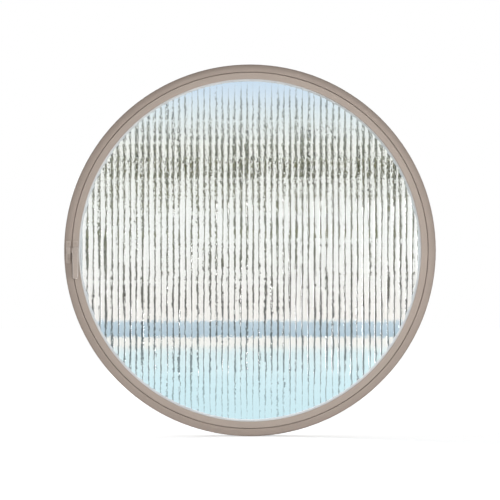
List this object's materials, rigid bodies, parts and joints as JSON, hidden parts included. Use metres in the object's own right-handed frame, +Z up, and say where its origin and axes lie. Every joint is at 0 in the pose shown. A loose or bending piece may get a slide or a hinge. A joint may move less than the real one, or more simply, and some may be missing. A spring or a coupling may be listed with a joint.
{
  "type": "round window",
  "caption": "Round outward-opening casement window: slim rolled aluminium frame and sash, reeded double glazing, lever latch and lift-off hinges, no wall.",
  "frame": {"origin": "centre of the round frame at half its depth, on the axis of the wall opening", "axes": "+X right as seen from the room, toward the hinges; +Y from the room to the outside, along the axis of the opening; +Z up"},
  "size_m": [1.2, 0.0953, 1.2],
  "materials": {
    "frame_coating": "satin powder coat on aluminium",
    "hardware_coating": "satin powder coat on die-cast zinc",
    "thermal_break": "cast resin",
    "stop_seal": "matt",
    "room_gasket": "light grey, matt",
    "outer_gasket": "matt",
    "reeded_glass": "reeded, upright ribs",
    "clear_glass": "polished",
    "spacer_metal": "mill",
    "edge_sealant": "matt",
    "block_plastic": "moulded",
    "coated_screw": "heads coated to match the frame",
    "screw_steel": "stainless",
    "pin_steel": "turned stainless",
    "washer_plastic": "nylon"
  },
  "bodies": {
    "frame": {"frame_inner_profile": "frame_coating", "frame_thermal_break": "thermal_break", "frame_outer_profile": "frame_coating", "frame_stop_seal": "stop_seal", "striker_plate": "hardware_coating", "striker_screws": "coated_screw", "frame_hinge_screws": "screw_steel", "lower_hinge_frame_leaf": "frame_coating", "lower_hinge_pin": "pin_steel", "lower_hinge_washer": "washer_plastic", "upper_hinge_frame_leaf": "frame_coating", "upper_hinge_pin": "pin_steel", "upper_hinge_washer": "washer_plastic"},
    "sash": {"sash_inner_profile": "frame_coating", "sash_outer_profile": "frame_coating", "sash_thermal_break": "thermal_break", "glazing_bead": "frame_coating", "room_glazing_gasket": "room_gasket", "outer_glazing_gasket": "outer_gasket", "reeded_pane": "reeded_glass", "clear_pane": "clear_glass", "spacer_bar": "spacer_metal", "edge_sealant": "edge_sealant", "setting_blocks": "block_plastic", "sash_hinge_screws": "screw_steel", "handle_base_plate": "hardware_coating", "handle_screws": "coated_screw", "handle_pivot": "hardware_coating", "handle_spring_washer": "pin_steel", "lower_hinge_sash_leaf": "frame_coating", "upper_hinge_sash_leaf": "frame_coating"},
    "handle": {"handle_lever": "hardware_coating"}
  },
  "joints": [
    {"name": "sash_swing", "type": "hinge", "parent": "frame", "child": "sash", "pos_m": [0.584, 0.038, 0], "axis": [0, 0, -1], "range_deg": [0, 90]},
    {"name": "handle_turn", "type": "hinge", "parent": "sash", "child": "handle", "pos_m": [-0.563, -0.033, 0], "axis": [0, -1, 0], "range_deg": [0, 90]}
  ]
}
